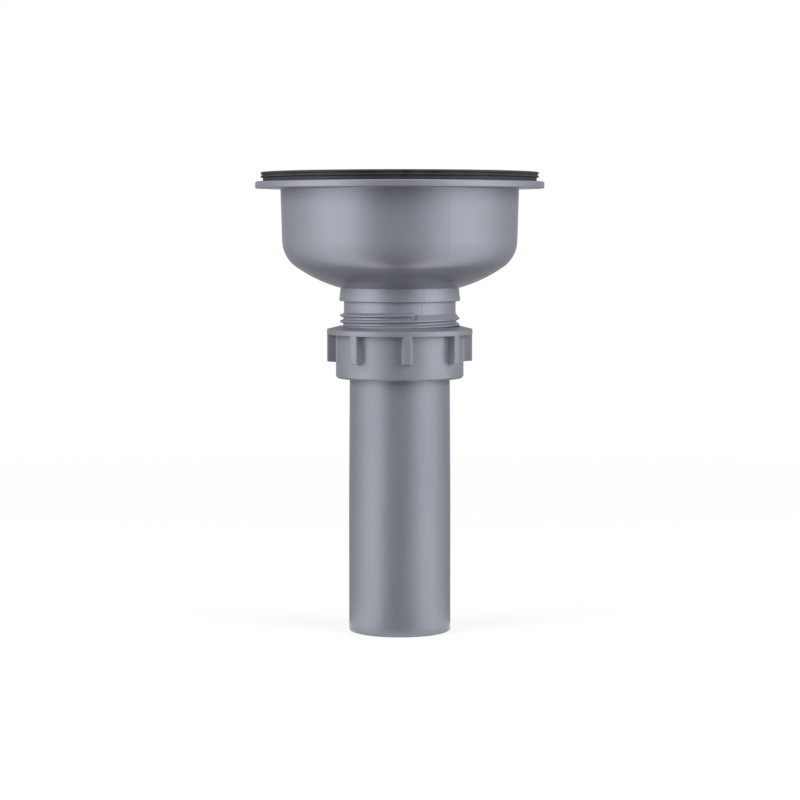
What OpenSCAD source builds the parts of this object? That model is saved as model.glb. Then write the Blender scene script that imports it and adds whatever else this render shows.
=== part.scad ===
// Sink waste: a moulded waste body with its rim gasket, slip nut and tail pipe.
// The origin lies on the axis, in the plane where the gasket meets the sink, and +Z points up.
// The front of the part faces -Y.

/* [Gasket] */
// Width of the rubber gasket, from the bowl's mouth to its edge
gasket_w = 10.35; // [7:0.05:16]
// Height of the gasket above the flange
gasket_rise = 3.7; // [2.5:0.1:6]
// Thickness of each of the two lips round the gasket's edge
gasket_lip = 0.9; // [0.6:0.1:1]
// Width of the slit between the two lips
gasket_slit = 0.4; // [0.2:0.1:0.5]
// Radial depth of the slit
gasket_slit_depth = 0.5; // [0.3:0.1:1]
// Radial depth of the undercut between the lower lip and the flange
gasket_undercut = 0.9; // [0.5:0.1:1.5]

/* [Flange] */
// Width of the flange's rim outside the gasket
flange_rim = 2.15; // [1.6:0.05:6]
// Thickness of the flange at its edge
flange_t = 2.7; // [2:0.1:4]
// Depth of the recess that the gasket sits in
seat_depth = 0.6; // [0.3:0.1:0.9]
// Radius of the rounded edge of the flange
flange_edge_r = 0.8; // [0.3:0.1:0.9]

/* [Bowl] */
// Outer diameter of the bowl under the flange
bowl_d = 94.3; // [88:0.1:98]
// Wall thickness of the bowl
bowl_wall = 2.5; // [1.6:0.1:4]
// Height of the bowl's straight side, below the flange
side_h = 20.7; // [10:0.1:40]
// Mould draft of the bowl's side, in degrees
draft = 1.6; // [0.5:0.1:3]
// Outer radius of the knuckle between the side and the dished floor
knuckle_r = 13; // [9:0.5:16]
// Angle that the knuckle turns through before the floor begins, in degrees
knuckle_a = 55; // [50:1:60]
// Outer radius of the dished floor's curve
crown_r = 57; // [50:1:70]
// Height of the straight land inside the mouth
mouth_land = 4; // [2:0.5:8]

/* [Outlet] */
// Bore of the outlet
outlet_bore = 40; // [37:0.5:44]
// Wall thickness of the outlet at the crests of its thread
neck_wall = 3.9; // [3.4:0.1:5]
// Length of the outlet's thread
thread_l = 17.3; // [14:0.1:30]
// Depth of the relief between the collar and the thread
relief_depth = 1.7; // [0.8:0.1:1.9]
// Height of the relief
relief_h = 4.8; // [2:0.1:10]
// Height of the collar
collar_h = 5.1; // [3:0.1:12]
// Distance that the collar's lower edge stands out past the thread
collar_out = 0.15; // [0:0.05:1]
// Narrowing of the collar's diameter towards the bowl
collar_taper = 1.1; // [0:0.1:2]

/* [Spider] */
// Number of arms across the outlet
arms = 4; // [3:1:6]
// Thickness of an arm
arm_t = 3; // [2:0.1:4]
// Height of an arm where it meets the outlet's wall
arm_h = 7.5; // [5:0.5:10]
// Outer diameter of the boss that holds the screw insert
boss_d = 14; // [12.5:0.5:16]
// Height that the arms climb from the wall to the boss
arm_rise = 3.4; // [1:0.1:5]

/* [Screw insert] */
// Outer diameter of the brass insert
insert_d = 9; // [8:0.1:10]
// Length of the brass insert
insert_l = 12; // [9:0.5:13]
// Core diameter of the insert's thread
insert_bore = 5; // [4:0.1:6]
// Width of the groove that locks the insert in the boss
insert_groove = 3; // [1.5:0.5:4]

/* [Seal washer] */
// Thickness of the washer between the neck and the tail pipe
washer_t = 3; // [1.5:0.5:5]

/* [Tail pipe] */
// Outer diameter of the tail pipe's spigot, the straight lower part that enters a trap
pipe_d = 40.5; // [36:0.5:41]
// Length of the spigot
spigot_l = 50; // [30:1:80]
// Narrowing of the pipe's diameter, from the spigot up to the flange
pipe_taper = 0.7; // [0:0.1:1.5]
// Wall thickness of the tail pipe
pipe_wall = 2; // [1.2:0.1:3]
// Length of the tail pipe, from the top of its flange to its end
pipe_l = 106.5; // [95:0.1:400]
// Thickness of the flange at the pipe's top end
pipe_flange_t = 2.5; // [1.5:0.1:4]
// Chamfer on the outer edge of the pipe's lower end
pipe_chamfer = 0.5; // [0.2:0.1:1]

/* [Slip nut] */
// Overall height of the nut
nut_h = 20.6; // [18:0.1:23]
// Wall thickness of the nut outside its thread
nut_wall = 1.3; // [1.2:0.1:3]
// Thickness of the lip that carries the pipe's flange
lip_t = 3; // [2:0.1:4]
// Height that the nut's top face slopes down to the rim
bevel_h = 1.2; // [0.5:0.1:2]
// Height of the rim that joins the tops of the ribs
rim_h = 2.1; // [1.5:0.1:4]
// Number of ribs
ribs = 8; // [6:1:12]
// Thickness of a rib
rib_t = 3.4; // [2:0.1:5]
// Height that a rib stands out from the nut's wall
rib_out = 3.55; // [1.5:0.05:5]
// Length of a rib below the rim
rib_l = 10.7; // [6:0.1:12]
// Turn of the first rib from the front, in degrees
rib_phase = 6.2; // [0:0.1:45]
// Chamfer on the nut's lower edge
nut_chamfer = 0.7; // [0.3:0.1:1]

/* [Clearances] */
// Radial clearance between the outlet's thread and the nut
thread_clear = 0.15; // [0.1:0.01:0.4]
// Radial clearance between the pipe and the nut's lip
lip_clear = 0.5; // [0.3:0.1:1]
// Radial clearance of the washer and the pipe's flange inside the nut
flange_clear = 0.5; // [0.3:0.1:1]
// Radial clearance round the gasket in its recess
gasket_clear = 0.2; // [0.1:0.05:0.5]

/* [Hidden] */

$fn = 96;
// Straight steps in an arc of a section, and in a small fillet
arc_steps = 12;
fillet_steps = 5;
// Depth that one part of a moulding runs into another
bite = 0.6;
// Distance that a cut runs past the face it opens
past = 1;
// Small edges and details
under_edge_r = 0.4;
neck_chamfer = 1;
inlet_r = 1.2;
boss_chamfer = 0.6;
gasket_foot = 0.3;
insert_lock = 0.6;
pipe_fillet = 0.4;

// Heights, from the sink downwards
z_rim = -gasket_rise;
z_seat = z_rim - seat_depth;
z_under = z_rim - flange_t;
z_knuckle = z_under - side_h;

// Radii of the flange and the bowl
bowl_r = bowl_d / 2;
mouth_r = bowl_r - bowl_wall;
gasket_r = mouth_r + gasket_w;
seat_r = gasket_r + gasket_clear;
flange_r = gasket_r + flange_rim;
side_r = bowl_r - side_h * tan(draft);

// The two arcs of the bowl's outside: the knuckle meets the side and the crown without a corner
knuckle_c = [side_r - knuckle_r * cos(draft), z_knuckle + knuckle_r * sin(draft)];
crown_c = knuckle_c - (crown_r - knuckle_r) * [cos(knuckle_a), -sin(knuckle_a)];

// Radii of the outlet
bore_r = outlet_bore / 2;
thread_r = bore_r + neck_wall;
relief_r = thread_r - relief_depth;
collar_r = thread_r + collar_out;
collar_top_r = collar_r - collar_taper / 2;

// Heights of the outlet: the collar starts where the dished floor reaches its radius
z_collar = crown_z(collar_top_r, crown_r);
z_relief = z_collar - collar_h;
z_thread = z_relief - relief_h;
z_neck = z_thread - thread_l;

// The rounded inlet touches the bore and the inside of the floor
floor_r = crown_r - bowl_wall;
inlet_c = [bore_r + inlet_r, crown_z(bore_r + inlet_r, floor_r + inlet_r)];
inlet_a = crown_a(bore_r + inlet_r, floor_r + inlet_r);

// Heights of the spider and its boss
z_arm_top = inlet_c[1] - bite / 2;
z_arm_bottom = z_arm_top - arm_h;
z_boss_top = z_arm_top + arm_rise;
z_boss_bottom = z_boss_top - insert_l;

// The stack that the nut pulls against the end of the neck
z_pipe = z_neck - washer_t;
z_lip = z_pipe - pipe_flange_t;
z_nut = z_lip - lip_t;
z_nut_top = z_nut + nut_h;
nut_bore_r = thread_r + thread_clear;
nut_r = nut_bore_r + nut_wall;
rib_r = nut_r + rib_out;
pipe_r = pipe_d / 2;
pipe_top_r = pipe_r - pipe_taper / 2;
lip_bore_r = pipe_top_r + lip_clear;
pipe_bore_r = pipe_r - pipe_wall;
pipe_flange_r = nut_bore_r - flange_clear;

// Height of the dished floor at radius r, for a crown of radius R about the same centre
function crown_z(r, R) = crown_c[1] - sqrt(R * R - pow(r - crown_c[0], 2));

// Points of an arc about c, from angle a0 to angle a1
function arc(c, r, a0, a1, n = arc_steps) =
    [for (i = [0:n]) let (a = a0 + (a1 - a0) * i / n) c + r * [cos(a), sin(a)]];

// Angle at which a crown of radius R passes radius r, below the horizontal
function crown_a(r, R) = acos((r - crown_c[0]) / R);

// Outside of the bowl, from the flange down to the collar
function bowl_outside() = concat(
    arc(knuckle_c, knuckle_r, -draft, -knuckle_a),
    arc(crown_c, crown_r, -knuckle_a, -crown_a(collar_top_r, crown_r)));

// Inside of the bowl, from the outlet's rounded inlet up to the side
function bowl_inside() = concat(
    arc(inlet_c, inlet_r, 180, 180 - inlet_a, fillet_steps),
    arc(crown_c, floor_r, -inlet_a, -knuckle_a),
    arc(knuckle_c, knuckle_r - bowl_wall, -knuckle_a, -draft));

// Section of the moulding without its spider
module body_section() {
    er = flange_edge_r;
    ur = under_edge_r;
    polygon(concat(
        [[mouth_r, z_seat], [seat_r, z_seat], [seat_r, z_rim]],
        arc([flange_r - er, z_rim - er], er, 90, 0, fillet_steps),
        arc([flange_r - ur, z_under + ur], ur, 0, -90, fillet_steps),
        arc([bowl_r + er, z_under - er], er, 90, 180, fillet_steps),
        bowl_outside(),
        [[collar_r, z_relief], [relief_r, z_relief], [relief_r, z_thread]],
        [[thread_r, z_thread - (thread_r - relief_r)], [thread_r, z_neck + neck_chamfer]],
        [[thread_r - neck_chamfer, z_neck], [bore_r, z_neck]],
        bowl_inside(),
        [[mouth_r, z_seat - mouth_land]]));
}

// One arm of the spider, from the axis into the outlet's wall
module arm() {
    rotate([90, 0, 0])
        linear_extrude(arm_t, center = true)
            polygon([[0, z_boss_top - boss_chamfer], [boss_d / 2, z_boss_top - boss_chamfer],
                     [bore_r + bite, z_arm_top], [bore_r + bite, z_arm_bottom], [0, z_arm_bottom]]);
}

// Section of the boss, chamfered at its top edge
module boss_section() {
    polygon([[0, z_boss_bottom], [boss_d / 2, z_boss_bottom], [boss_d / 2, z_boss_top - boss_chamfer],
             [boss_d / 2 - boss_chamfer, z_boss_top], [0, z_boss_top]]);
}

// Outline of the screw insert, which the boss is moulded round: two barrels and a locking groove
module insert_outline(longer = 0) {
    r = insert_d / 2;
    low = z_boss_bottom - longer;
    high = z_boss_top + longer;
    mid = (z_boss_top + z_boss_bottom) / 2;
    polygon([[0, low], [r, low], [r, mid - insert_groove / 2],
             [r - insert_lock, mid - insert_groove / 2], [r - insert_lock, mid + insert_groove / 2],
             [r, mid + insert_groove / 2], [r, high], [0, high]]);
}

module waste_body() {
    color("slategray")
        difference() {
            union() {
                rotate_extrude() body_section();
                rotate_extrude() boss_section();
                for (i = [0:arms - 1])
                    rotate([0, 0, i * 360 / arms]) arm();
            }
            rotate_extrude() insert_outline(past);
        }
}

// Section of the gasket: its edge has two rounded lips over an undercut, and its foot fills the recess
module gasket_section() {
    r = gasket_r;
    e = gasket_lip / 2;
    z_lip_2 = -gasket_lip - gasket_slit;
    polygon(concat(
        [[mouth_r, z_seat], [r, z_seat], [r, z_rim], [r - gasket_undercut, z_rim + gasket_foot]],
        [[r - gasket_undercut, z_lip_2 - gasket_lip]],
        arc([r - e, z_lip_2 - e], e, -90, 90),
        [[r - gasket_slit_depth, z_lip_2], [r - gasket_slit_depth, -gasket_lip]],
        arc([r - e, -e], e, -90, 90),
        [[mouth_r, 0]]));
}

module rim_gasket() {
    color("black") rotate_extrude() gasket_section();
}

module screw_insert() {
    color("gold")
        difference() {
            rotate_extrude() insert_outline();
            translate([0, 0, z_boss_bottom - past]) cylinder(d = insert_bore, h = insert_l + 2 * past);
        }
}

module seal_washer() {
    color("dimgray")
        translate([0, 0, z_pipe])
            difference() {
                cylinder(r = pipe_flange_r, h = washer_t);
                translate([0, 0, -past]) cylinder(r = bore_r, h = washer_t + 2 * past);
            }
}

// Section of the nut: bevelled top and rim, threaded wall, lip
module nut_section() {
    c = nut_chamfer;
    z_rim_top = z_nut_top - bevel_h;
    polygon([[lip_bore_r, z_nut], [nut_r - c, z_nut], [nut_r, z_nut + c],
             [nut_r, z_rim_top - rim_h], [rib_r, z_rim_top - rim_h], [rib_r, z_rim_top],
             [nut_bore_r, z_nut_top], [nut_bore_r, z_lip], [lip_bore_r, z_lip]]);
}

// The ribs of the nut, cut off by the cylinder of its rim
module nut_ribs() {
    z_top = z_nut_top - bevel_h - rim_h;
    intersection() {
        for (i = [0:ribs - 1])
            rotate([0, 0, rib_phase - 90 + i * 360 / ribs])
                translate([nut_r - bite, -rib_t / 2, z_top - rib_l])
                    cube([rib_out + 2 * bite, rib_t, rib_l + bite]);
        translate([0, 0, z_top - rib_l]) cylinder(r = rib_r, h = rib_l + bite);
    }
}

module slip_nut() {
    color("gray")
        union() {
            rotate_extrude() nut_section();
            nut_ribs();
        }
}

// Section of the tail pipe: flange with a fillet under it, drafted wall, straight spigot, chamfered end
module pipe_section() {
    z_end = z_pipe - pipe_l;
    f = pipe_fillet;
    polygon(concat(
        [[pipe_bore_r, z_pipe], [pipe_flange_r, z_pipe], [pipe_flange_r, z_lip]],
        arc([pipe_top_r + f, z_lip - f], f, 90, 180, fillet_steps),
        [[pipe_r, z_end + spigot_l], [pipe_r, z_end + pipe_chamfer]],
        [[pipe_r - pipe_chamfer, z_end], [pipe_bore_r, z_end]]));
}

module tail_pipe() {
    color("slategray") rotate_extrude() pipe_section();
}

waste_body();
rim_gasket();
screw_insert();
seal_washer();
slip_nut();
tail_pipe();
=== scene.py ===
"""Looks of a moulded sink waste: bowl, rim gasket, threaded outlet, slip nut and tail pipe.

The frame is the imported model's: the axis is Z, the gasket's top face lies at z = 0 and the front
faces -Y. Sizes and heights are in millimetres until a mesh is made, and Blender gets metres. They
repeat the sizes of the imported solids, with the rounded edges, threads and small relief added.
"""

from __future__ import annotations

import logging
import math
from dataclasses import dataclass
from enum import Enum

import bpy
import numpy as np
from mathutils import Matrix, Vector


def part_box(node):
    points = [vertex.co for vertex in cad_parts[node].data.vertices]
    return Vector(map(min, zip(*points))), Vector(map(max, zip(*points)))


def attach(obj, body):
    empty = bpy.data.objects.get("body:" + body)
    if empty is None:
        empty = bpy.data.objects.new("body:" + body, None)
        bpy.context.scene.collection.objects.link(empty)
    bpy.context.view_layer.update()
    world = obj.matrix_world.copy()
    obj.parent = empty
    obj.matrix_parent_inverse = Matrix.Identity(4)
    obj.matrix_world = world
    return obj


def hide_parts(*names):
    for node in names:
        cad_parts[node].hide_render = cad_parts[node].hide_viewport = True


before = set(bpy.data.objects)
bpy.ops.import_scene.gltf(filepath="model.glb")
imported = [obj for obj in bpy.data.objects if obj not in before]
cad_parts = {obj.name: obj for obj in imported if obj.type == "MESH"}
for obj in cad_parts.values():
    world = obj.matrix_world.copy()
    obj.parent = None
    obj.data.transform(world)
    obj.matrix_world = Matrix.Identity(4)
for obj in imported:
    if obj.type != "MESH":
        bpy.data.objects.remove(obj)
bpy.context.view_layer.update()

LOG = logging.getLogger("sink_waste")
MM = 0.001
TAU = 2 * math.pi


def heights(node: str) -> tuple[float, float]:
    """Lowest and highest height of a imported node, in millimetres."""
    low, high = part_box(node)
    return low.z / MM, high.z / MM


class Body(Enum):
    """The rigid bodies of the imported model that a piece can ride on."""

    WASTE = "waste"
    WASHER = "washer"
    NUT = "nut"
    PIPE = "pipe"


# Curves and grids

def fillet(corner: np.ndarray, before: np.ndarray, after: np.ndarray, radius: float, steps: int) -> np.ndarray:
    """Round one corner of a section.

    The arc touches both straight lines: its centre lies on the bisector, radius / sin(half angle)
    from the corner, and its ends lie radius / tan(half angle) from the corner.

    Args:
        corner: The corner point.
        before: The point that the section comes from.
        after: The point that the section goes to.
        radius: Radius of the arc, or 0 for a sharp corner.
        steps: Straight steps in the arc.

    Returns:
        The points of the arc, or the corner alone.
    """
    if radius <= 0:
        return corner[None]
    u = (before - corner) / np.linalg.norm(before - corner)
    v = (after - corner) / np.linalg.norm(after - corner)
    half = math.acos(float(np.clip(u @ v, -1, 1))) / 2
    reach = radius / math.tan(half)
    bisector = (u + v) / np.linalg.norm(u + v)
    centre = corner + bisector * radius / math.sin(half)
    start = corner + u * reach - centre
    end = corner + v * reach - centre
    a0 = math.atan2(start[1], start[0])
    turn = (math.atan2(end[1], end[0]) - a0 + math.pi) % TAU - math.pi
    angles = a0 + turn * np.linspace(0, 1, steps + 1)
    return centre + radius * np.stack([np.cos(angles), np.sin(angles)], 1)


def section(corners: list[tuple[float, float, float]], steps: int = 6) -> np.ndarray:
    """Closed section from corners, each with the radius of its rounding.

    Args:
        corners: (r, z, radius) of each corner.
        steps: Straight steps in each arc.

    Returns:
        Points (r, z) of the closed section, without a repeated end point.
    """
    points = np.array([c[:2] for c in corners], float)
    rounds = [fillet(points[i], points[i - 1], points[(i + 1) % len(points)], corners[i][2], steps)
              for i in range(len(points))]
    return np.concatenate(rounds)


def refined(points: np.ndarray, spacing: float, hold: float = 0.08) -> np.ndarray:
    """Add points on the long straight steps of a closed section.

    A step longer than the spacing gets a holding point close to each end, which keeps the shading
    of an arc off the flat beside it, and evenly spaced points between them.

    Args:
        points: Points (r, z) of the section.
        spacing: Longest step that may stay.
        hold: Distance of a holding point from the end of its step.

    Returns:
        The refined points.
    """
    out = []
    for a, b in zip(points, np.roll(points, -1, axis=0)):
        length = float(np.linalg.norm(b - a))
        out.append(a[None])
        if length > max(spacing, 4 * hold):
            inner = np.linspace(hold, length - hold, max(2, math.ceil(length / spacing)))
            out.append(a + (b - a) * (inner / length)[:, None])
    return np.concatenate(out)


def arc(centre: tuple[float, float], radius: float, start: float, end: float, steps: int) -> np.ndarray:
    """Points of an arc about centre, from angle start to angle end in degrees."""
    angles = np.radians(np.linspace(start, end, steps + 1))
    return np.array(centre) + radius * np.stack([np.cos(angles), np.sin(angles)], 1)


def smooth_step(x: np.ndarray) -> np.ndarray:
    """Rise from 0 to 1 as x goes from 0 to 1, level at both ends: 3 x^2 - 2 x^3."""
    t = np.clip(x, 0, 1)
    return t * t * (3 - 2 * t)


def turned(points: np.ndarray, angles: np.ndarray) -> np.ndarray:
    """Surface of revolution: each point (r, z) goes to (r cos a, r sin a, z) for each angle a.

    Args:
        points: Points (r, z), or a grid of them with one column for each angle.
        angles: Turn angles in radians.

    Returns:
        Grid of points with one row for each section point and one column for each angle.
    """
    grid = points[:, None, :] if points.ndim == 2 else points
    r, z = grid[..., 0], grid[..., 1]
    return np.stack(np.broadcast_arrays(r * np.cos(angles), r * np.sin(angles), z), -1)


def mesh_piece(name: str, sheets: list[tuple[np.ndarray, bool, bool]]) -> bpy.types.Object:
    """One piece from grids of points in millimetres, with quads between neighbours.

    Args:
        name: Name of the piece.
        sheets: For each grid, the points (rows, columns, 3), whether the last row joins the first,
            and whether the last column joins the first. A grid that is closed one way and open the
            other is a tube, and gets one face over each end. Faces point outwards.

    Returns:
        The new object, at the origin, in metres.
    """
    verts, quads, caps, start = [], [], [], 0
    for grid, wrap_rows, wrap_cols in sheets:
        if signed_volume(grid, wrap_rows, wrap_cols) < 0:
            grid = grid[:, ::-1]
        rows, cols = grid.shape[:2]
        index = start + np.arange(rows * cols).reshape(rows, cols)
        down = np.roll(index, -1, axis=0) if wrap_rows else index[1:]
        here = index if wrap_rows else index[:-1]
        if wrap_cols:
            right, down_right = np.roll(here, -1, axis=1), np.roll(down, -1, axis=1)
        else:
            here, right, down, down_right = here[:, :-1], here[:, 1:], down[:, :-1], down[:, 1:]
        quads.append(np.stack([here, right, down_right, down], -1).reshape(-1, 4))
        if not wrap_rows and wrap_cols:
            caps.append(index[0][::-1].tolist())
            caps.append(index[-1].tolist())
        if wrap_rows and not wrap_cols:
            caps.append(index[:, 0].tolist())
            caps.append(index[:, -1][::-1].tolist())
        verts.append(grid.reshape(-1, 3))
        start += rows * cols
    mesh = bpy.data.meshes.new(name)
    mesh.from_pydata(np.concatenate(verts) * MM, [], np.concatenate(quads).tolist() + caps)
    mesh.update()
    mesh.polygons.foreach_set("use_smooth", np.ones(len(mesh.polygons), bool))
    piece = bpy.data.objects.new(name, mesh)
    bpy.context.scene.collection.objects.link(piece)
    return piece


def signed_volume(grid: np.ndarray, wrap_rows: bool, wrap_cols: bool) -> float:
    """Volume inside a grid's faces, negative where they point inwards.

    Each quad with corners a, b, c, d gives a . (c - a) x (d - b) / 6 about the middle of the grid, and the
    caps of a tube add nothing to the sign.

    Args:
        grid: Points (rows, columns, 3).
        wrap_rows: Whether the last row joins the first.
        wrap_cols: Whether the last column joins the first.

    Returns:
        The volume, in the cube of the grid's unit.
    """
    g = grid - grid.reshape(-1, 3).mean(0)
    down = np.roll(g, -1, axis=0)
    right, down_right = np.roll(g, -1, axis=1), np.roll(down, -1, axis=1)
    rows = slice(None) if wrap_rows else slice(-1)
    cols = slice(None) if wrap_cols else slice(-1)
    middle = (g + right + down_right + down) / 4
    parts = np.einsum("ijk,ijk->ij", middle, np.cross(down_right - g, down - right)) / 6
    return float(parts[rows, cols].sum())


# Finishes

def linear(hex_colour: str) -> tuple[float, float, float, float]:
    """sRGB hex colour, such as "8a8c99", as linear red, green, blue and alpha."""
    channels = np.array([int(hex_colour[i:i + 2], 16) / 255 for i in (0, 2, 4)])
    values = np.where(channels <= 0.04045, channels / 12.92, ((channels + 0.055) / 1.055) ** 2.4)
    return (*values.tolist(), 1.0)


def add_node(tree: bpy.types.NodeTree, kind: str, settings: dict | None = None,
             inputs: dict | None = None) -> bpy.types.Node:
    """Add a shader node.

    Args:
        tree: The material's node tree.
        kind: The node's type name.
        settings: Attributes to set on the node.
        inputs: For each input socket, by name or index, the value to set or the socket to link.

    Returns:
        The new node.
    """
    node = tree.nodes.new(kind)
    for key, value in (settings or {}).items():
        setattr(node, key, value)
    for key, value in (inputs or {}).items():
        if isinstance(value, bpy.types.NodeSocket):
            tree.links.new(value, node.inputs[key])
        else:
            node.inputs[key].default_value = value
    return node


def ramp(tree: bpy.types.NodeTree, factor: bpy.types.NodeSocket, low: float, high: float,
         to_low: float = 0.0, to_high: float = 1.0) -> bpy.types.NodeSocket:
    """Map a pattern's range to another range, clamped, and return the result socket."""
    node = add_node(tree, "ShaderNodeMapRange", {"clamp": True},
                    {"Value": factor, "From Min": low, "From Max": high, "To Min": to_low, "To Max": to_high})
    return node.outputs["Result"]


@dataclass(frozen=True)
class MouldedPlastic:
    """Injection-moulded polypropylene with a silver-grey pigment.

    The flake in the pigment gives the eye a soft metallic lift in the highlights, the polished mould
    leaves a satin gloss with a faint orange peel, and flow in the mould leaves slow changes of tone.

    Attributes:
        name: Name of the material.
        colour: Base colour, sRGB hex.
        shade: Colour of the darker flow marks, sRGB hex.
        flake: Share of the reflection that behaves like metal flake.
        roughness: Mean roughness of the skin.
        peel_mm: Size of the orange peel's cells.
        peel_depth_mm: Height of the orange peel.
        flow_mm: Size of the slow changes of tone.
        streak: How much longer the patterns are along the axis than around it.
    """

    name: str
    colour: str
    shade: str
    flake: float = 0.3
    roughness: float = 0.3
    peel_mm: float = 1.6
    peel_depth_mm: float = 0.012
    flow_mm: float = 26.0
    streak: float = 1.0

    def material(self) -> bpy.types.Material:
        """Build the node material."""
        mat, tree, shader = new_material(self.name)
        coords = add_node(tree, "ShaderNodeTexCoord").outputs["Object"]
        along = add_node(tree, "ShaderNodeMapping", None,
                         {"Vector": coords, "Scale": (1, 1, 1 / self.streak)}).outputs["Vector"]
        flow = add_node(tree, "ShaderNodeTexNoise", None,
                        {"Vector": along, "Scale": 1 / (self.flow_mm * MM), "Detail": 3.0,
                         "Roughness": 0.55, "Distortion": 0.6}).outputs["Fac"]
        peel = add_node(tree, "ShaderNodeTexNoise", None,
                        {"Vector": along, "Scale": 1 / (self.peel_mm * MM), "Detail": 2.0,
                         "Roughness": 0.5}).outputs["Fac"]
        tone = add_node(tree, "ShaderNodeMix", {"data_type": "RGBA"},
                        {"Factor": ramp(tree, flow, 0.3, 0.7), "A": linear(self.shade),
                         "B": linear(self.colour)}).outputs["Result"]
        tree.links.new(tone, shader.inputs["Base Color"])
        tree.links.new(ramp(tree, flow, 0.25, 0.75, self.roughness + 0.03, self.roughness - 0.03),
                       shader.inputs["Roughness"])
        shader.inputs["Metallic"].default_value = self.flake
        shader.inputs["IOR"].default_value = 1.49
        bump = add_node(tree, "ShaderNodeBump", None,
                        {"Height": peel, "Strength": 1.0, "Distance": self.peel_depth_mm * MM})
        tree.links.new(bump.outputs["Normal"], shader.inputs["Normal"])
        return mat


@dataclass(frozen=True)
class MouldedRubber:
    """Compression-moulded nitrile rubber: near black, matt, with a dusty bloom and a fine grain.

    Attributes:
        name: Name of the material.
        colour: Base colour, sRGB hex.
        bloom: Colour of the dusty bloom, sRGB hex.
        grain_mm: Size of the surface grain.
    """

    name: str
    colour: str
    bloom: str
    grain_mm: float = 0.5

    def material(self) -> bpy.types.Material:
        """Build the node material."""
        mat, tree, shader = new_material(self.name)
        coords = add_node(tree, "ShaderNodeTexCoord").outputs["Object"]
        patches = add_node(tree, "ShaderNodeTexNoise", None,
                           {"Vector": coords, "Scale": 1 / (9 * MM), "Detail": 4.0,
                            "Roughness": 0.6}).outputs["Fac"]
        grain = add_node(tree, "ShaderNodeTexNoise", None,
                         {"Vector": coords, "Scale": 1 / (self.grain_mm * MM), "Detail": 3.0,
                          "Roughness": 0.6}).outputs["Fac"]
        tone = add_node(tree, "ShaderNodeMix", {"data_type": "RGBA"},
                        {"Factor": ramp(tree, patches, 0.35, 0.75), "A": linear(self.colour),
                         "B": linear(self.bloom)}).outputs["Result"]
        tree.links.new(tone, shader.inputs["Base Color"])
        tree.links.new(ramp(tree, patches, 0.3, 0.7, 0.5, 0.62), shader.inputs["Roughness"])
        shader.inputs["IOR"].default_value = 1.52
        bump = add_node(tree, "ShaderNodeBump", None,
                        {"Height": grain, "Strength": 0.6, "Distance": 0.03 * MM})
        tree.links.new(bump.outputs["Normal"], shader.inputs["Normal"])
        return mat


@dataclass(frozen=True)
class TurnedBrass:
    """Free-cutting brass turned on a lathe: warm yellow, with fine rings round the axis.

    Attributes:
        name: Name of the material.
        colour: Base colour, sRGB hex.
        tarnish: Colour of the tarnished patches, sRGB hex.
        ring_mm: Spacing of the tool's rings, drawn coarser than real so that they show.
    """

    name: str
    colour: str
    tarnish: str
    ring_mm: float = 0.25

    def material(self) -> bpy.types.Material:
        """Build the node material."""
        mat, tree, shader = new_material(self.name)
        coords = add_node(tree, "ShaderNodeTexCoord").outputs["Object"]
        patches = add_node(tree, "ShaderNodeTexNoise", None,
                           {"Vector": coords, "Scale": 1 / (3 * MM), "Detail": 3.0}).outputs["Fac"]
        rings = add_node(tree, "ShaderNodeTexWave",
                         {"wave_type": "RINGS", "rings_direction": "Z", "wave_profile": "SIN"},
                         {"Vector": coords, "Scale": TAU / 20 / (self.ring_mm * MM),
                          "Distortion": 0.4}).outputs["Fac"]
        tone = add_node(tree, "ShaderNodeMix", {"data_type": "RGBA"},
                        {"Factor": ramp(tree, patches, 0.45, 0.8), "A": linear(self.colour),
                         "B": linear(self.tarnish)}).outputs["Result"]
        tree.links.new(tone, shader.inputs["Base Color"])
        tree.links.new(ramp(tree, patches, 0.3, 0.7, 0.22, 0.36), shader.inputs["Roughness"])
        shader.inputs["Metallic"].default_value = 1.0
        bump = add_node(tree, "ShaderNodeBump", None,
                        {"Height": rings, "Strength": 0.5, "Distance": 0.01 * MM})
        tree.links.new(bump.outputs["Normal"], shader.inputs["Normal"])
        return mat


def new_material(name: str) -> tuple[bpy.types.Material, bpy.types.NodeTree, bpy.types.Node]:
    """New node material.

    Args:
        name: Name of the material.

    Returns:
        The material, its node tree and its Principled shader.
    """
    mat = bpy.data.materials.new(name)
    mat.use_nodes = True
    return mat, mat.node_tree, mat.node_tree.nodes["Principled BSDF"]


# Pieces

def place(piece: bpy.types.Object, body: Body, mat: bpy.types.Material, node: str) -> None:
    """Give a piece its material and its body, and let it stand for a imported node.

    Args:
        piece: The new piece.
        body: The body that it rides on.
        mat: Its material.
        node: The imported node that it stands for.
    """
    piece.data.materials.append(mat)
    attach(piece, body.value)
    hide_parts(node)
    LOG.info("%s: %d faces, rides on %s and stands for %s", piece.name, len(piece.data.polygons),
             body.value, node)


def ring_angles(count: int, extra: np.ndarray | None = None) -> np.ndarray:
    """Evenly spaced angles round the axis, with extra angles sorted in among them."""
    even = np.linspace(0, TAU, count, endpoint=False)
    if extra is None:
        return even
    return np.unique(np.round(np.concatenate([even, np.mod(extra, TAU)]), 7))


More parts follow.
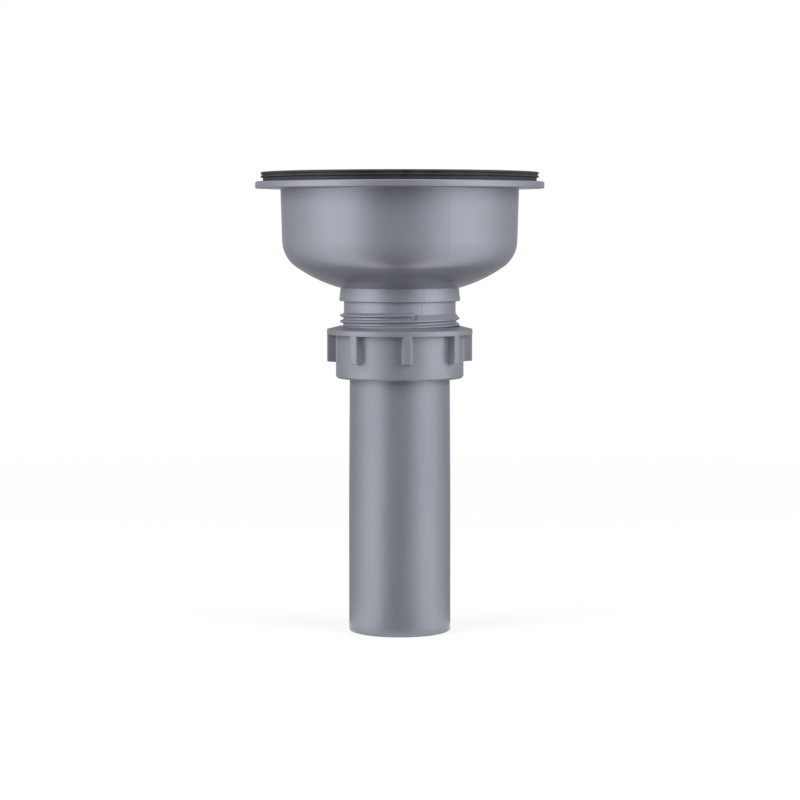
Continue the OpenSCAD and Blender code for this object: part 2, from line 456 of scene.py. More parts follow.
@dataclass(frozen=True)
class Thread:
    """A right-hand pipe thread of rounded form, shared by the outlet and the slip nut.

    Attributes:
        pitch: Distance between neighbouring crests: 11 turns to the inch.
        depth: Height of a crest above its root: 0.64 of the pitch.
        crest_z: Height of the outlet's crest at the angle where its thread begins.
        crest_angle: Angle round the axis where the outlet's thread begins, in degrees.
    """

    pitch: float = 25.4 / 11
    depth: float = 25.4 / 11 * 0.64
    crest_z: float = -55.87
    crest_angle: float = -74.0

    def height(self, angles: np.ndarray) -> np.ndarray:
        """Height of the outlet's crest: crest_z + pitch * (turns past the angle where it begins)."""
        return self.crest_z + self.pitch * (angles - math.radians(self.crest_angle)) / TAU

    def ridge(self, root: float, outward: int, shift: float, first: float, last: float,
              fade: tuple[float, float], steps: int = 96) -> np.ndarray:
        """One ridge wound round the axis, as a tube to be capped.

        At angle a the ridge's middle is at the height of the outlet's crest plus the shift. Across it
        the rise above the root is depth * smooth_step(1.15 * (1 - |x|)), for x from -1 at its lower
        edge to 1 at its upper edge, which gives sloped flanks with a rounded crest. A row of points
        behind the root closes the tube. Height and width shrink where the ridge fades out.

        Args:
            root: Radius that the ridge stands on.
            outward: 1 for a ridge that stands outwards, -1 for one that stands inwards.
            shift: Height to add to the path.
            first: Turn where the ridge ends below, counted from crest_angle.
            last: Turn where the ridge ends above.
            fade: Turns over which the ridge fades at its lower and its upper end.
            steps: Steps in a turn.

        Returns:
            Grid with one row for each section point and one column for each step of the path.
        """
        turns = np.linspace(first, last, int((last - first) * steps) + 1)
        angles = turns * TAU + math.radians(self.crest_angle)
        grow = smooth_step((turns - first) / fade[0]) * smooth_step((last - turns) / fade[1])
        x = np.linspace(-1, 1, 15)
        behind = 0.15
        rise = np.append(self.depth * smooth_step(1.15 * (1 - np.abs(x))), 0.0)
        across = np.append(x * 0.47 * self.pitch, 0.0)
        radius = root + outward * (rise[:, None] * grow - behind * (1 + (np.arange(16) == 15))[:, None])
        z = self.height(angles) + shift + across[:, None] * (0.4 + 0.6 * grow)
        return np.stack([radius * np.cos(angles), radius * np.sin(angles), z], -1)


@dataclass
class WasteBody:
    """The moulded body: flange, bowl, collar, threaded outlet and the spider across the outlet.

    Attributes:
        mouth_r: Radius of the mouth.
        seat: Radius and height of the gasket's recess.
        flange_r: Radius of the flange.
        rim_z: Height of the flange's rim.
        under_z: Height of the flange's underside.
        bowl_r: Radius of the bowl under the flange.
        knuckle: Centre (r, z) and radius of the curve from the side to the floor.
        crown: Centre (r, z) and radius of the dished floor.
        draft: Mould draft of the side, in degrees.
        knuckle_turn: Angle below the horizontal where the knuckle meets the crown, in degrees.
        wall: Wall thickness.
        collar: Upper and lower corners (r, z) of the collar.
        relief: Radius of the relief and height of its lower end.
        root_r: Radius at the roots of the thread.
        crest_r: Radius at the crests of the thread.
        neck_z: Height of the outlet's end.
        bore_r: Bore of the outlet.
        inlet: Centre (r, z) and radius of the rounded inlet.
        parting: Angle of the mould's parting line round the axis, in degrees.
        arms: Number of arms.
        arm_t: Thickness of an arm.
        arm_low: Height of the arms' lower edge.
        arm_top: Heights of an arm's upper edge at the boss and at the wall.
        boss: Radius, lower and upper height of the boss.
        insert_r: Radius of the hole that the insert fills.
    """

    mouth_r: float = 44.65
    seat: tuple[float, float] = (55.2, -4.3)
    flange_r: float = 57.15
    rim_z: float = -3.7
    under_z: float = -6.4
    bowl_r: float = 47.15
    knuckle: tuple[float, float, float] = (33.577, -26.737, 13.0)
    crown: tuple[float, float, float] = (8.340, 9.306, 57.0)
    draft: float = 1.6
    knuckle_turn: float = 55.0
    wall: float = 2.5
    collar: tuple[tuple[float, float], tuple[float, float]] = ((23.5, -45.64), (24.05, -50.74))
    relief: tuple[float, float] = (22.2, -55.54)
    root_r: float = 22.42
    crest_r: float = 23.9
    neck_z: float = -72.84
    bore_r: float = 20.0
    inlet: tuple[float, float, float] = (21.2, -44.89, 1.2)
    parting: float = -66.0
    arms: int = 4
    arm_t: float = 3.0
    arm_low: float = -52.69
    arm_top: tuple[float, float] = (-42.39, -45.19)
    boss: tuple[float, float, float] = (7.0, -53.79, -41.79)
    insert_r: float = 4.5

    def outline(self) -> np.ndarray:
        """Closed section (r, z) of the body without its thread and spider, rounded at every corner."""
        kc, kr = self.knuckle[:2], self.knuckle[2]
        cc, cr = self.crown[:2], self.crown[2]
        ic, ir = self.inlet[:2], self.inlet[2]
        collar_a = math.degrees(math.acos((self.collar[0][0] - cc[0]) / cr))
        inlet_a = math.degrees(math.acos((ic[0] - cc[0]) / (cr - self.wall + ir)))
        upper = section([
            (self.mouth_r, self.seat[1] - 4, 0), (self.mouth_r, self.seat[1], 0.25),
            (self.seat[0], self.seat[1], 0.12), (self.seat[0], self.rim_z, 0.15),
            (self.flange_r, self.rim_z, 0.75), (self.flange_r, self.under_z, 0.4),
            (self.bowl_r, self.under_z, 0.8), (self.bowl_r, self.under_z - 2, 0)])[:-1]
        neck = section([
            (self.collar[0][0] + 0.3, self.collar[0][1] + 2, 0), (self.collar[0][0], self.collar[0][1], 0.5),
            (self.collar[1][0], self.collar[1][1], 0.3), (self.relief[0], self.collar[1][1] - 0.12, 0.35),
            (self.relief[0], self.relief[1], 0.2), (self.root_r, self.relief[1] - 0.5, 0.2),
            (self.root_r, self.neck_z, 0.4), (self.bore_r, self.neck_z, 0.4),
            (self.bore_r, self.neck_z + 3, 0)])[1:-1]
        outside = np.concatenate([arc(kc, kr, -self.draft, -self.knuckle_turn, 28),
                                  arc(cc, cr, -self.knuckle_turn, -collar_a, 24)[1:-1]])
        inside = np.concatenate([arc(ic, ir, 180, 180 - inlet_a, 8),
                                 arc(cc, cr - self.wall, -inlet_a, -self.knuckle_turn, 24)[1:],
                                 arc(kc, kr - self.wall, -self.knuckle_turn, -self.draft, 20)[1:]])
        return refined(np.concatenate([upper, outside, neck, inside]), 2.5)

    def shell(self) -> bpy.types.Object:
        """Make the turned shell, with the mould's two parting lines raised on its outside.

        The radius is the section's plus flash * exp(-(arc length from the line / width)^2) below the
        flange and outside the bore.
        """
        flash, width = 0.05, 0.16
        lines = np.radians([self.parting, self.parting + 180])
        close = np.radians([-1.2, -0.7, -0.45, -0.3, -0.18, -0.08, 0, 0.08, 0.18, 0.3, 0.45, 0.7, 1.2])
        angles = ring_angles(192, (lines[:, None] + close).ravel())
        points = self.outline()
        outer = (points[:, 1] < self.under_z - 0.9) & (points[:, 0] > self.relief[0] - 0.05)
        inner = points[:, 0] < np.hypot(points[:, 0] * 0 + self.bore_r + 0.5, 0)
        below = points[:, 1] > self.collar[0][1]
        wall_mid = self.crown[2] - self.wall / 2
        from_crown = np.hypot(points[:, 0] - self.crown[0], points[:, 1] - self.crown[1])
        from_knuckle = np.hypot(points[:, 0] - self.knuckle[0], points[:, 1] - self.knuckle[1])
        outer &= ~inner & ~(below & (from_crown < wall_mid) & (from_knuckle < self.knuckle[2] - self.wall / 2))
        outer &= ~(below & (points[:, 0] < self.mouth_r + 0.5) & (points[:, 1] > self.knuckle[1]))
        off = np.abs((angles[:, None] - lines + math.pi) % TAU - math.pi).min(1)
        raised = flash * np.exp(-(off * points[:, :1] / width) ** 2) * outer[:, None]
        grid = np.stack(np.broadcast_arrays(points[:, :1] + raised, points[:, 1:]), -1)
        return mesh_piece("waste_shell", [(turned(grid, angles), True, True)])

    def outlet_thread(self, thread: Thread) -> bpy.types.Object:
        """Make the ridge of the outlet's thread and the slope that runs into it below the relief.

        The slope's section is a triangle from the relief's lower edge to the crest one turn below the
        thread's blunt start. It fades into the crest's own flank over half a turn.
        """
        last_turn = (self.neck_z + 1.3 - thread.crest_z) / thread.pitch
        ridge = thread.ridge(self.root_r, 1, 0.0, last_turn, 0.0, (0.25, 0.012))
        turns = np.linspace(-1.0, -0.4, 60)
        angles = turns * TAU + math.radians(thread.crest_angle)
        crest = thread.height(angles)
        foot = self.relief[1] + 0.05
        share = np.array([0.0, 0.08, 0.3, 0.6, 0.86, 0.96, 1.0])[:, None]
        z = foot + (crest - foot) * share
        radius = self.relief[0] - 0.05 + (self.crest_r - 0.1 - self.relief[0]) * share + 0 * crest
        back_r = np.full((2, len(turns)), self.relief[0] - 0.6)
        back_z = np.stack([crest, np.full(len(turns), foot)])
        radius, z = np.concatenate([radius, back_r]), np.concatenate([z, back_z])
        slope = np.stack([radius * np.cos(angles), radius * np.sin(angles), z], -1)
        return mesh_piece("outlet_thread", [(ridge, True, False), (slope, True, False)])

    def spider(self) -> bpy.types.Object:
        """Make the arms and the boss.

        Along an arm runs x from inside the boss to inside the outlet's wall. Its half thickness is
        arm_t / 2 plus a quarter-circle flare at each end, and its upper edge falls in a straight line
        from the boss to the wall. Its section is a rectangle with rounded corners.
        """
        boss_r, boss_low, boss_top = self.boss
        ends = np.array([boss_r - 1.0, self.bore_r + 0.5])
        t = np.linspace(0, 1, 41)
        x = ends[0] + (ends[1] - ends[0]) * (t - np.sin(TAU * t) / TAU)
        flare_r = 1.6
        near = np.maximum(np.clip((x - (self.bore_r - flare_r)) / flare_r, 0, 1),
                          np.clip((boss_r + flare_r - x) / flare_r, 0, 1))
        flare = flare_r * (1 - np.sqrt(1 - near ** 2)) * 0.8
        half = self.arm_t / 2 + flare
        top = self.arm_top[0] + (self.arm_top[1] - self.arm_top[0]) * (x - boss_r) / (self.bore_r - boss_r)
        top = np.minimum(top, self.arm_top[0]) + flare * 0.5
        low = self.arm_low - flare * 0.5
        a = np.radians(np.linspace(0, 360, 24, endpoint=False) + 7.5)[:, None]
        corner = 0.8
        side, up = np.sign(np.cos(a)), np.sign(np.sin(a))
        y = side * (half - corner) + corner * np.cos(a)
        z = (top + low) / 2 + up * ((top - low) / 2 - corner) + corner * np.sin(a)
        arm = np.stack(np.broadcast_arrays(x, y, z), -1)
        sheets = []
        for k in range(self.arms):
            c, s = math.cos(k * TAU / self.arms), math.sin(k * TAU / self.arms)
            sheets.append((arm @ np.array([[c, s, 0], [-s, c, 0], [0, 0, 1]]), True, False))
        ring = refined(section([(self.insert_r, boss_low, 0.2), (boss_r, boss_low, 0.6),
                                (boss_r, boss_top, 0.6), (self.insert_r, boss_top, 0.2)]), 2.5)
        sheets.append((turned(ring, ring_angles(72)), True, True))
        return mesh_piece("spider", sheets)

    def build(self, finish: MouldedPlastic, thread: Thread) -> None:
        """Make the pieces of the body and dress them."""
        mat = finish.material()
        for piece in (self.shell(), self.outlet_thread(thread), self.spider()):
            place(piece, Body.WASTE, mat, "waste_body")


@dataclass
class RimGasket:
    """The rubber gasket on the flange: a flat ring whose edge has two rounded lips over an undercut.

    Attributes:
        mouth_r: Inner radius.
        outer_r: Outer radius.
        rim_z: Height of the flange's rim.
        seat_z: Height of the recess that the foot sits in.
        lip: Thickness of a lip.
        slit: Width of the slit between the lips.
        slit_depth: Depth of the slit.
        undercut: Depth of the undercut.
        wave: Height of the slow unevenness of the lips.
    """

    mouth_r: float = 44.65
    outer_r: float = 55.0
    rim_z: float = -3.7
    seat_z: float = -4.3
    lip: float = 0.9
    slit: float = 0.4
    slit_depth: float = 0.5
    undercut: float = 0.9
    wave: float = 0.05

    def build(self, finish: MouldedRubber) -> None:
        """Make the ring and dress it.

        The lips' outer edge keeps inside outer_r: its radius loses wave * (1 + sin) / 2 of two slow
        waves round the axis, in the share that a point stands out past the undercut.
        """
        r, second = self.outer_r, -self.lip - self.slit
        e = self.lip / 2
        points = np.concatenate([
            section([(self.mouth_r, self.seat_z, 0.1), (r, self.seat_z, 0.1), (r, self.rim_z, 0.1),
                     (r - self.undercut, self.rim_z + 0.3, 0.1),
                     (r - self.undercut, second - self.lip, 0.1)]),
            arc((r - e, second - e), e, -90, 90, 10),
            [[r - self.slit_depth, second], [r - self.slit_depth - 0.12, second + self.slit / 2],
             [r - self.slit_depth, -self.lip]],
            arc((r - e, -e), e, -90, 90, 10),
            fillet(np.array([self.mouth_r, 0.0]), np.array([r, 0.0]),
                   np.array([self.mouth_r, self.seat_z]), 0.35, 6)])
        points = refined(points, 2.0)
        angles = ring_angles(192)
        out = np.clip((points[:, :1] - (r - self.undercut)) / self.undercut, 0, 1)
        out *= points[:, 1:] > self.rim_z + 0.5
        slow = (2 + np.sin(5 * angles + 0.6 + points[:, 1:] * 0.7) + np.sin(13 * angles + 2.1)) / 4
        grid = np.stack(np.broadcast_arrays(points[:, :1] - self.wave * slow * out, points[:, 1:]), -1)
        piece = mesh_piece("rim_gasket_ring", [(turned(grid, angles), True, True)])
        place(piece, Body.WASTE, finish.material(), "rim_gasket")


@dataclass
class ScrewInsert:
    """The brass insert that takes the strainer's screw, with a locking groove and a coarse bore thread.

    Attributes:
        radius: Outer radius.
        low: Height of its lower face.
        top: Height of its upper face.
        groove: Radius and width of the locking groove.
        core_r: Core radius of the bore.
        pitch: Pitch of the bore's thread.
        cut: Depth that the bore's thread cuts into the wall.
    """

    radius: float = 4.5
    low: float = heights("screw_insert")[0]
    top: float = heights("screw_insert")[1]
    groove: tuple[float, float] = (3.9, 3.0)
    core_r: float = 2.5
    pitch: float = 1.0
    cut: float = 0.54

    def build(self, finish: TurnedBrass) -> None:
        """Make the insert and dress it.

        The bore's radius is core_r + cut * smooth_step(wave), where the wave has one period in each
        pitch along z and moves up by one pitch in each turn, and opens into a chamfer at each face.
        """
        mid = (self.low + self.top) / 2
        g, w = self.groove[0], self.groove[1] / 2
        wall = refined(section([
            (self.core_r + 0.7, self.low, 0.15), (self.radius, self.low, 0.2), (self.radius, mid - w, 0.15),
            (g, mid - w, 0.1), (g, mid + w, 0.1), (self.radius, mid + w, 0.15),
            (self.radius, self.top, 0.2), (self.core_r + 0.7, self.top, 0.15)]), 2.0)
        angles = ring_angles(64)
        z = np.linspace(self.top - 0.15, self.low + 0.15, int((self.top - self.low) / self.pitch * 10))[:, None]
        turns = z / self.pitch - angles / TAU
        wave = 0.5 + 0.5 * np.cos(TAU * turns)
        edge = np.minimum(self.top - z, z - self.low)
        bore = self.core_r + self.cut * np.maximum(smooth_step(wave), np.clip(1.2 - edge / 0.6, 0, 1.2))
        bore_grid = np.stack(np.broadcast_arrays(bore, z), -1)
        wall_grid = np.repeat(wall[:, None, :], len(angles), axis=1)
        piece = mesh_piece("brass_insert", [(turned(np.concatenate([wall_grid, bore_grid]), angles), True, True)])
        place(piece, Body.WASTE, finish.material(), "screw_insert")


@dataclass
class SealWasher:
    """The rubber washer between the outlet's end and the tail pipe's flange.

    Attributes:
        bore_r: Inner radius.
        outer_r: Outer radius.
        low: Height of its lower face.
        top: Height of its upper face.
    """

    bore_r: float = 20.0
    outer_r: float = 23.55
    low: float = heights("seal_washer")[0]
    top: float = heights("seal_washer")[1]

    def build(self, finish: MouldedRubber) -> None:
        """Make the washer as a turned ring with rounded edges, and dress it."""
        ring = refined(section([(self.bore_r, self.low, 0.35), (self.outer_r, self.low, 0.35),
                                (self.outer_r, self.top, 0.35), (self.bore_r, self.top, 0.35)]), 1.5)
        piece = mesh_piece("seal_ring", [(turned(ring, ring_angles(144)), True, True)])
        place(piece, Body.WASHER, finish.material(), "seal_washer")


@dataclass
class SlipNut:
    """The slip nut: a threaded wall with ribs under a rim, and a lip that carries the pipe's flange.

    Attributes:
        low: Height of its lower face.
        top: Height of its upper face.
        lip_top: Height of the lip's upper face.
        lip_r: Bore of the lip.
        bore_r: Bore at the roots of its thread.
        wall_r: Radius of the wall outside the thread.
        rib_r: Radius of the ribs and the rim.
        rim: Upper and lower height of the rim's side.
        rib_low: Height of the ribs' lower ends.
        ribs: Number of ribs.
        rib_t: Thickness of a rib.
        phase: Angle of the first rib round the axis, in degrees.
        chamfer: Chamfer on the lower edge.
        foot: Radius of the fillet where a rib or the rim meets the wall.
        edge: Radius of the ribs' and the rim's rounded edges.
    """

    low: float = heights("slip_nut")[0]
    top: float = heights("slip_nut")[1]
    lip_top: float = -78.34
    lip_r: float = 20.4
    bore_r: float = 24.05
    wall_r: float = 25.35
    rib_r: float = 28.9
    rim: tuple[float, float] = (-61.94, -64.04)
    rib_low: float = -74.74
    ribs: int = 8
    rib_t: float = 3.4
    phase: float = -83.8
    chamfer: float = 0.7
    foot: float = 0.35
    edge: float = 0.25

    def columns(self) -> tuple[np.ndarray, np.ndarray]:
        """Angles round the nut, close together on the flanks of the ribs.

        Over half a rib the points go along its section (u, h): the foot's fillet, the drafted flank,
        the rounded edge and the middle. A point's angle is arcsin(u / (wall radius + h)).

        Returns:
            The angles, and the rib's height at each.
        """
        height = self.rib_r - self.wall_r
        half = self.rib_t / 2
        foot = arc((half + self.foot, self.foot), self.foot, 270, 180, 4)
        top = arc((half - 0.12 - self.edge, height - self.edge), self.edge, 0, 90, 4)
        flank = foot[-1] + (top[0] - foot[-1]) * np.array([[0.04], [0.5], [0.96]])
        one = np.concatenate([foot, flank, top, [[half * 0.4, height], [0, height]]])
        reach = np.arcsin(one[:, 0] / (self.wall_r + one[:, 1]))
        rib_a = np.concatenate([-reach, reach[-2::-1]])
        rib_h = np.concatenate([one[:, 1], one[-2::-1, 1]])
        gap = np.linspace(reach[0], TAU / self.ribs - reach[0], 13)[1:-1]
        angles = np.concatenate([rib_a, gap])
        heights = np.concatenate([rib_h, gap * 0])
        turns = np.arange(self.ribs)[:, None] * TAU / self.ribs + math.radians(self.phase)
        return (turns + angles).ravel(), np.tile(heights, self.ribs)

    def rows(self) -> np.ndarray:
        """Rows of the closed section: (radius without ribs, z, share of the ribs' height, rim's height).

        The rim's height falls to 0 round its lower edge and along its slightly sloped underside, and
        the ribs' share falls to 0 in the same way at their lower ends.
        """
        height, e, f, slope = self.rib_r - self.wall_r, self.edge, self.foot, 0.16
        wall = self.wall_r

        def step_down(z: float) -> np.ndarray:
            """Points (height, z) round a lower edge, along the underside and round its fillet."""
            edge = arc((height - e, z + e), e, 0, -90, 4)
            return np.concatenate([edge, arc((f, z - slope - f), f, 90, 180, 4)])

        rim = step_down(self.rim[1])
        ends = step_down(self.rib_low)
        bevel = section([(self.bore_r, self.top - 1, 0), (self.bore_r, self.top, 0.2),
                         (self.rib_r, self.rim[0], 0.35), (self.rib_r, self.rim[0] - 1, 0)])[1:-1]
        rows = [[(r, z, 1.0, 0.0) for r, z in bevel],
                [(wall, z, 1.0, h) for h, z in rim],
                [(wall, z, 1.0, 0.0) for z in np.linspace(rim[-1, 1] - 0.1, ends[0, 1] + 0.1, 10)],
                [(wall, z, h / height, 0.0) for h, z in ends]]
        lower = refined(section([
            (wall, ends[-1, 1] - 0.1, 0), (wall, self.low + self.chamfer, 0.3),
            (wall - self.chamfer, self.low, 0.3), (self.lip_r, self.low, 0.3),
            (self.lip_r, self.lip_top, 0.3), (self.bore_r, self.lip_top, 0.3),
            (self.bore_r, self.top - 1, 0)]), 2.0)
        keep = np.arange(len(lower)) <= np.argmax((lower[:, 1] >= self.top - 1.001))
        rows.append([(r, z, 0.0, 0.0) for r, z in lower[keep]])
        return np.concatenate([np.array(part) for part in rows])

    def shell(self) -> bpy.types.Object:
        """Make the nut's shell.

        Outside, the radius is the wall's plus the larger of the rim's height and the rib's height
        times its share. On the bevel, which is drawn at its full radius, the ribs add nothing.
        """
        angles, rib = self.columns()
        rows = self.rows()
        base, z, share, rim = (rows[:, i:i + 1] for i in range(4))
        on_wall = np.abs(base - self.wall_r) < 1e-6
        radius = base + on_wall * np.maximum(rim, rib * share)
        grid = np.stack(np.broadcast_arrays(radius, z), -1)
        return mesh_piece("nut_shell", [(turned(grid, angles), True, True)])

    def inner_thread(self, thread: Thread) -> bpy.types.Object:
        """Make the ridge inside the nut, half a pitch from the outlet's crests."""
        half = thread.pitch / 2
        first = (self.lip_top + 4.2 - half - thread.crest_z) / thread.pitch
        last = (self.top - 1.3 - half - thread.crest_z) / thread.pitch
        ridge = thread.ridge(self.bore_r, -1, half, first, last, (0.2, 0.2))
        return mesh_piece("nut_thread", [(ridge, True, False)])

    def build(self, finish: MouldedPlastic, thread: Thread) -> None:
        """Make the pieces of the nut and dress them."""
        mat = finish.material()
        for piece in (self.shell(), self.inner_thread(thread)):
            place(piece, Body.NUT, mat, "slip_nut")


@dataclass
class TailPipe:
    """The tail pipe: a flange held by the nut, a drafted wall and a straight spigot.

    Attributes:
        bore_r: Inner radius.
        flange_r: Radius of the flange.
        top: Height of the flange's upper face.
        flange_low: Height of the flange's lower face.
        upper_r: Outer radius under the flange.
        spigot_r: Outer radius of the spigot.
        spigot_z: Height where the spigot begins.
        end_z: Height of the lower end.
    """

    bore_r: float = 18.25
    flange_r: float = 23.55
    top: float = heights("tail_pipe")[1]
    flange_low: float = -78.34
    upper_r: float = 19.9
    spigot_r: float = 20.25
    spigot_z: float = -132.34
    end_z: float = heights("tail_pipe")[0]

    def build(self, finish: MouldedPlastic) -> None:
        """Make the pipe as a turned section with rounded edges, and dress it."""
        wall = refined(section([
            (self.bore_r, self.top, 0.3), (self.flange_r, self.top, 0.3), (self.flange_r, self.flange_low, 0.3),
            (self.upper_r, self.flange_low, 0.4), (self.spigot_r, self.spigot_z, 8.0),
            (self.spigot_r, self.end_z, 0.5), (self.bore_r, self.end_z, 0.35)]), 4.0)
        piece = mesh_piece("pipe_wall", [(turned(wall, ring_angles(160)), True, True)])
        place(piece, Body.PIPE, finish.material(), "tail_pipe")


# Studio

@dataclass
class Studio:
    """White floor and surroundings, two soft side lamps, a graded light tent, and the photograph's camera.

    The tent is seen only in reflections. It is bright at both sides and dark in front and at the rear
    corners, so each round wall shows two broad vertical highlights with a dark middle and dark edges.

    Attributes:
        floor_z: Height of the floor, in metres.
        camera_at: Place of the camera, in metres.
        pitch: Angle that the camera looks down, in degrees.
        lens: Focal length in millimetres, on a 36 mm sensor.
        lamp_turn: Angle of each lamp from the camera's side, in degrees.
        lamp_size: Width and height of a lamp, in metres.
        lamp_far: Distance of a lamp from the axis, in metres.
        lamp_z: Height of the lamps' middle, in metres.
        lamp_power: Power of a lamp, in watts.
        fill: Strength of the surroundings for diffuse light.
        tent: Brightness of the tent at angles from the camera's side, positive to the right.
        tent_power: Brightness that a value of 1 in the tent stands for.
    """

    floor_z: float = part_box("tail_pipe")[0].z
    camera_at: tuple[float, float, float] = (0.0001, -0.953, -0.0208)
    pitch: float = 4.17
    lens: float = 108.0
    lamp_turn: float = 64.0
    lamp_size: tuple[float, float] = (1.0, 1.2)
    lamp_far: float = 1.1
    lamp_z: float = 0.15
    lamp_power: float = 21.0
    fill: float = 0.35
    tent: tuple[tuple[float, float], ...] = (
        (-180, 0.30), (-150, 0.10), (-118, 0.16), (-95, 0.55), (-74, 0.95), (-56, 1.0), (-40, 0.75),
        (-28, 0.25), (-16, 0.06), (0, 0.03), (14, 0.10), (28, 0.42), (44, 0.80), (60, 1.0), (78, 0.9),
        (98, 0.55), (118, 0.16), (150, 0.10), (180, 0.30))
    tent_power: float = 1.9

    def seen_white(self, tree: bpy.types.NodeTree) -> bpy.types.NodeSocket:
        """1 for camera, glossy and transmission rays, and 0 for the rest."""
        path = add_node(tree, "ShaderNodeLightPath")
        some = add_node(tree, "ShaderNodeMath", {"operation": "MAXIMUM"},
                        {0: path.outputs["Is Camera Ray"], 1: path.outputs["Is Glossy Ray"]})
        return add_node(tree, "ShaderNodeMath", {"operation": "MAXIMUM"},
                        {0: some.outputs[0], 1: path.outputs["Is Transmission Ray"]}).outputs[0]

    def staged(self, name: str, grid: np.ndarray, mat: bpy.types.Material) -> bpy.types.Object:
        """One stage object from a grid of points in metres, closed round its columns."""
        rows, cols = grid.shape[:2]
        index = np.arange(rows * cols).reshape(rows, cols)
        here, down = index[:-1], index[1:]
        quads = np.stack([here, np.roll(here, -1, 1), np.roll(down, -1, 1), down], -1).reshape(-1, 4)
        mesh = bpy.data.meshes.new(name)
        mesh.from_pydata(grid.reshape(-1, 3), [], quads.tolist())
        mesh.materials.append(mat)
        thing = bpy.data.objects.new(name, mesh)
        bpy.context.scene.collection.objects.link(thing)
        return thing

    def surroundings(self) -> None:
        """White surroundings as seen, at the fill's strength as light."""
        world = bpy.data.worlds.new("white_room")
        world.use_nodes = True
        bpy.context.scene.world = world
        tree = world.node_tree
        strength = add_node(tree, "ShaderNodeMapRange", None,
                            {"Value": self.seen_white(tree), "To Min": self.fill, "To Max": 1.0})
        back = tree.nodes["Background"]
        back.inputs["Color"].default_value = (1, 1, 1, 1)
        tree.links.new(strength.outputs["Result"], back.inputs["Strength"])

    def floor(self) -> None:
        """Pale floor that keeps the object's shadow and melts into the white surroundings.

        As seen, it gets whiter with the distance from the axis, from 0.3 m to 0.8 m.
        """
        mat, tree, shader = new_material("white_card_floor")
        tree.nodes.remove(shader)
        place_at = add_node(tree, "ShaderNodeTexCoord").outputs["Object"]
        far = add_node(tree, "ShaderNodeVectorMath", {"operation": "LENGTH"}, {0: place_at}).outputs["Value"]
        card = add_node(tree, "ShaderNodeBsdfDiffuse", None, {"Color": linear("9a9a9a")})
        lift = add_node(tree, "ShaderNodeMath", {"operation": "MULTIPLY"}, {0: self.seen_white(tree), 1: 0.74})
        glow = add_node(tree, "ShaderNodeEmission", None, {"Strength": lift.outputs[0]})
        lit = add_node(tree, "ShaderNodeAddShader", None, {0: card.outputs[0], 1: glow.outputs[0]})
        white = add_node(tree, "ShaderNodeEmission", None, {"Strength": self.seen_white(tree)})
        surface = add_node(tree, "ShaderNodeMixShader", None,
                           {0: ramp(tree, far, 0.3, 0.8), 1: lit.outputs[0], 2: white.outputs[0]})
        tree.links.new(surface.outputs[0], tree.nodes["Material Output"].inputs["Surface"])
        rings = np.array([[0.001, 0], [0.4, 0], [1.6, 0]]) + [0, self.floor_z - 0.0001]
        self.staged("floor", turned(rings, ring_angles(96)), mat)

    def lamps(self) -> None:
        """Soft lamps at both sides, level with the bowl, which give the diffuse light."""
        for side in (-1, 1):
            turn = math.radians(self.lamp_turn) * side
            light = bpy.data.lights.new("side_lamp", "AREA")
            light.shape = "RECTANGLE"
            light.size, light.size_y = self.lamp_size
            light.energy = self.lamp_power
            lamp = bpy.data.objects.new("side_lamp", light)
            lamp.location = (self.lamp_far * math.sin(turn), -self.lamp_far * math.cos(turn), self.lamp_z)
            lamp.rotation_euler = (math.radians(90), 0, turn)
            lamp.visible_camera = lamp.visible_glossy = False
            bpy.context.scene.collection.objects.link(lamp)

    def light_tent(self) -> None:
        """Graded tent round the object, from the floor up to 0.9 m, that only reflections see."""
        mat, tree, shader = new_material("graded_tent")
        tree.nodes.remove(shader)
        place_at = add_node(tree, "ShaderNodeTexCoord").outputs["Object"]
        x, y, _ = add_node(tree, "ShaderNodeSeparateXYZ", None, {0: place_at}).outputs
        front = add_node(tree, "ShaderNodeMath", {"operation": "MULTIPLY"}, {0: y, 1: -1.0}).outputs[0]
        turn = add_node(tree, "ShaderNodeMath", {"operation": "ARCTAN2"}, {0: x, 1: front}).outputs[0]
        grade = add_node(tree, "ShaderNodeValToRGB", None, {0: ramp(tree, turn, -math.pi, math.pi)})
        stops = grade.color_ramp.elements
        while len(stops) < len(self.tent):
            stops.new(0.5)
        for stop, (angle, value) in zip(stops, self.tent):
            stop.position = (angle + 180) / 360
            stop.color = (value, value, value, 1)
        grade.color_ramp.interpolation = "B_SPLINE"
        glow = add_node(tree, "ShaderNodeEmission", None,
                        {"Color": grade.outputs["Color"], "Strength": self.tent_power})
        tree.links.new(glow.outputs[0], tree.nodes["Material Output"].inputs["Surface"])
        path = np.array([[0.03, self.floor_z], [1.3, self.floor_z], [1.5, 0.3], [1.3, 0.9], [0.4, 1.3]])
        path[:2, 1] += 0.0002
        tent = self.staged("light_tent", turned(path, ring_angles(96)), mat)
        tent.visible_camera = tent.visible_diffuse = tent.visible_shadow = tent.visible_transmission = False

    def camera(self) -> None:
        """The photograph's camera."""
        data = bpy.data.cameras.new("photo_camera")
        data.lens, data.sensor_width = self.lens, 36.0
        camera = bpy.data.objects.new("photo_camera", data)
        camera.location = self.camera_at
        camera.rotation_euler = (math.radians(90 - self.pitch), 0, 0)
        bpy.context.scene.collection.objects.link(camera)
        bpy.context.scene.camera = camera

    def build(self) -> None:
        """Set up the floor, the surroundings, the lamps, the tent and the camera."""
        bpy.context.scene.view_settings.view_transform = "Standard"
        self.surroundings()
        self.floor()
        self.lamps()
        self.light_tent()
        self.camera()


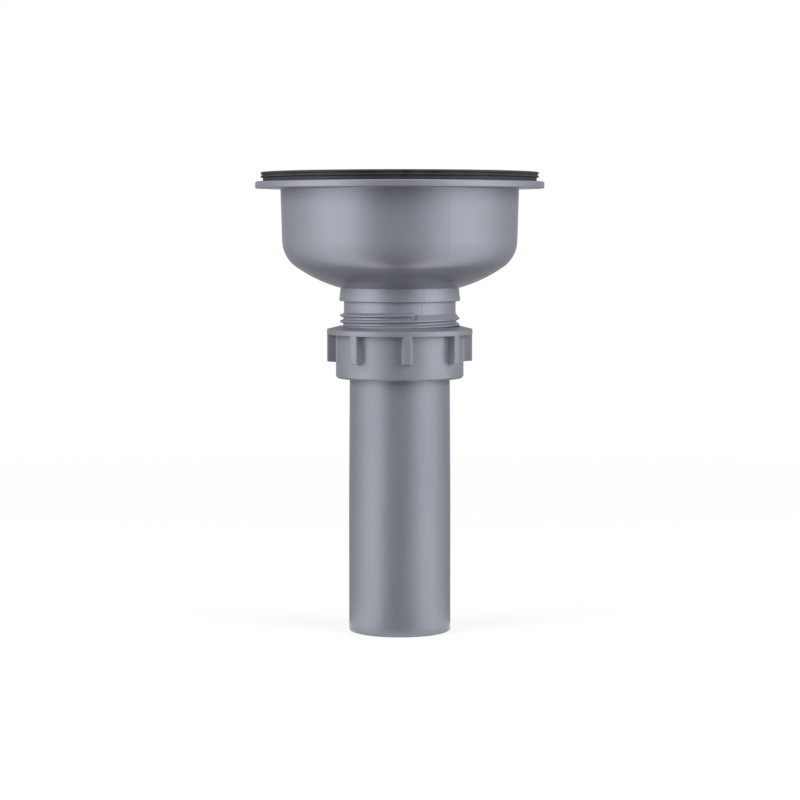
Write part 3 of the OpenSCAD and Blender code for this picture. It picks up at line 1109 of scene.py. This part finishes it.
def main() -> None:
    """Build the sub-assemblies from the sink downwards, then the studio."""
    logging.basicConfig(level=logging.INFO, format="%(name)s: %(message)s")
    thread = Thread()
    WasteBody().build(MouldedPlastic("polypropylene_body", "8a8c99", "84868f", roughness=0.24), thread)
    RimGasket().build(MouldedRubber("nitrile_rubber", "1c1c20", "34343a"))
    ScrewInsert().build(TurnedBrass("turned_brass", "c8a45a", "8a6a3a"))
    SealWasher().build(MouldedRubber("washer_rubber", "202022", "303034"))
    SlipNut().build(MouldedPlastic("polypropylene_nut", "868892", "7d7f88", roughness=0.36), thread)
    TailPipe().build(MouldedPlastic("polypropylene_pipe", "84868f", "7c7e88", roughness=0.26, streak=4.0))
    Studio().build()


if __name__ == "__main__":
    main()
